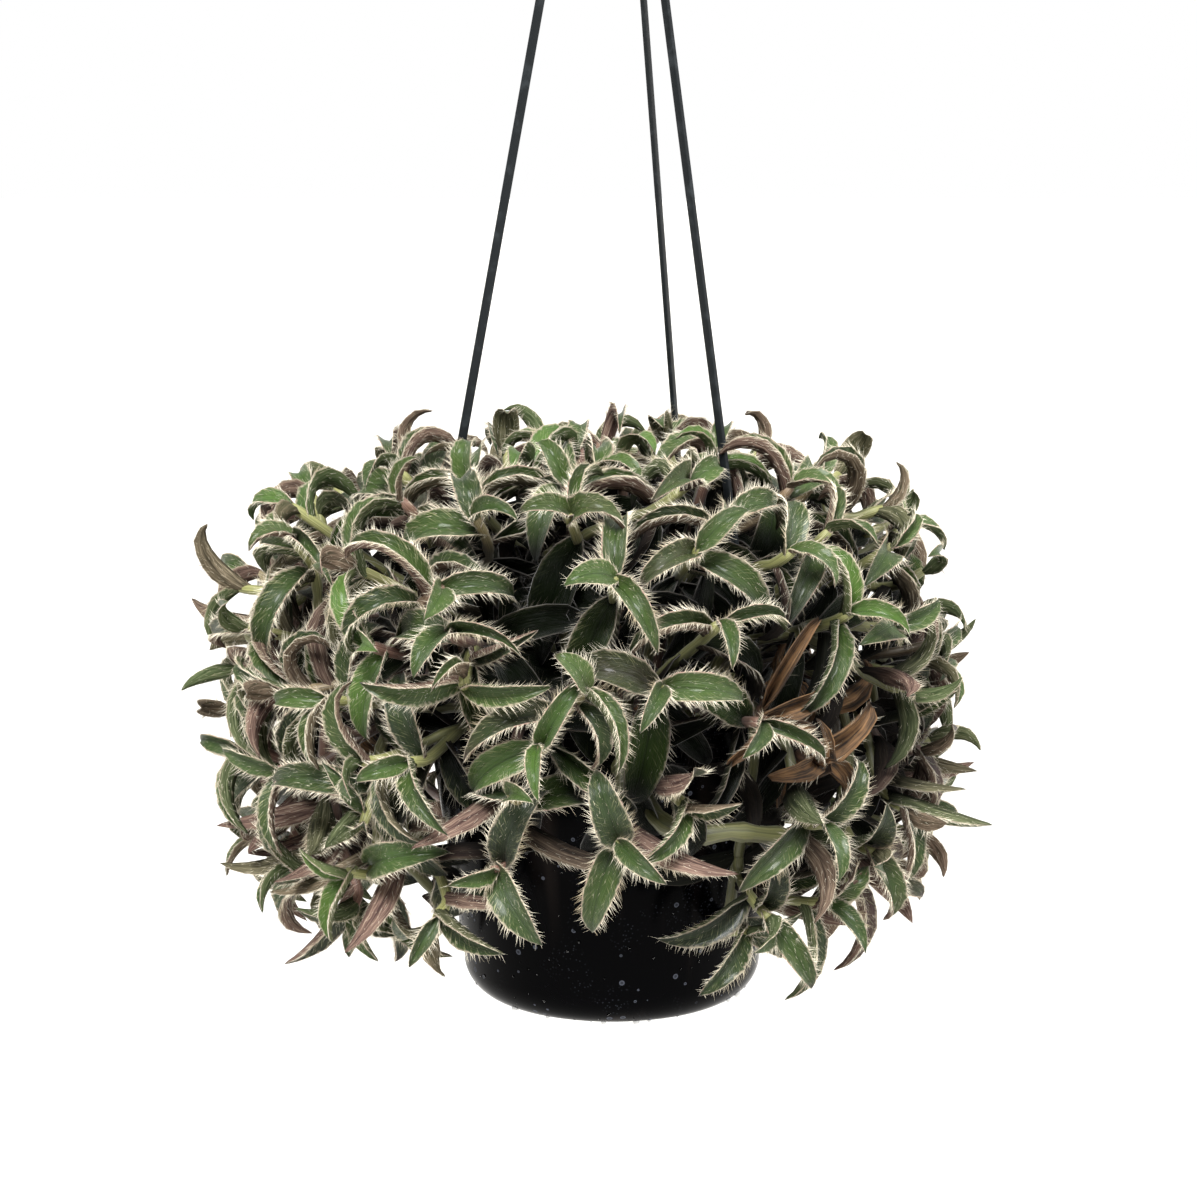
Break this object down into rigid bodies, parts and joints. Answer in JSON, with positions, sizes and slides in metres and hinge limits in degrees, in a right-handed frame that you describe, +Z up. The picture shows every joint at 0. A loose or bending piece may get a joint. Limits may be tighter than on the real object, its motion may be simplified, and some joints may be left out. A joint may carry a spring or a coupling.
{
  "type": "potted cyanotis",
  "caption": "Hairy trailing cyanotis house plant growing in a round black moulded pot, hung from a slim three-armed hanger with a hook.",
  "frame": {"origin": "the point inside the hook where the hook bears on the rail or hook that carries it, straight above the middle of the pot", "axes": "+Z up along the hanger's middle line; -Y towards the side of the plant seen in the picture; +X to the right in the picture; the hook lies in the XZ plane"},
  "size_m": [0.2332, 0.2378, 0.4511],
  "materials": {
    "pot": "black moulded plastic, glossy, with water specks",
    "hanger": "dark grey moulded plastic, satin",
    "soil": "moist dark potting mix, rough",
    "leaf": "green folded leaf with pale hairy margins and a brown purple underside",
    "dry_leaf": "dead leaf, dry orange brown"
  },
  "bodies": {
    "root": {"pot": "pot", "hanger": "hanger", "soil": "soil", "leafy_stem_01": "leaf", "leafy_stem_02": "leaf", "leafy_stem_03": "leaf", "leafy_stem_04": "leaf", "leafy_stem_05": "leaf", "leafy_stem_06": "leaf", "leafy_stem_07": "leaf", "leafy_stem_08": "leaf", "leafy_stem_09": "leaf", "leafy_stem_10": "leaf", "leafy_stem_11": "leaf", "leafy_stem_12": "leaf", "leafy_stem_13": "leaf", "leafy_stem_14": "leaf", "leafy_stem_15": "leaf", "leafy_stem_16": "leaf", "leafy_stem_17": "leaf", "leafy_stem_18": "leaf", "leafy_stem_19": "leaf", "leafy_stem_20": "leaf", "leafy_stem_21": "leaf", "leafy_stem_22": "leaf", "leafy_stem_23": "leaf", "leafy_stem_24": "leaf", "leafy_stem_25": "leaf", "leafy_stem_26": "leaf", "leafy_stem_27": "leaf", "leafy_stem_28": "leaf", "leafy_stem_29": "leaf", "leafy_stem_30": "leaf", "leafy_stem_31": "leaf", "leafy_stem_32": "leaf", "leafy_stem_33": "leaf", "leafy_stem_34": "leaf", "leafy_stem_35": "leaf", "leafy_stem_36": "leaf", "leafy_stem_37": "leaf", "leafy_stem_38": "leaf", "leafy_stem_39": "leaf", "leafy_stem_40": "leaf", "leafy_stem_41": "leaf", "leafy_stem_42": "leaf", "leafy_stem_43": "leaf", "leafy_stem_44": "leaf", "leafy_stem_45": "leaf", "leafy_stem_46": "leaf", "leafy_stem_47": "leaf", "leafy_stem_48": "leaf", "leafy_stem_49": "leaf", "leafy_stem_50": "leaf", "leafy_stem_51": "leaf", "leafy_stem_52": "leaf", "dry_stem_01": "dry_leaf", "dry_stem_02": "dry_leaf"}
  },
  "joints": []
}
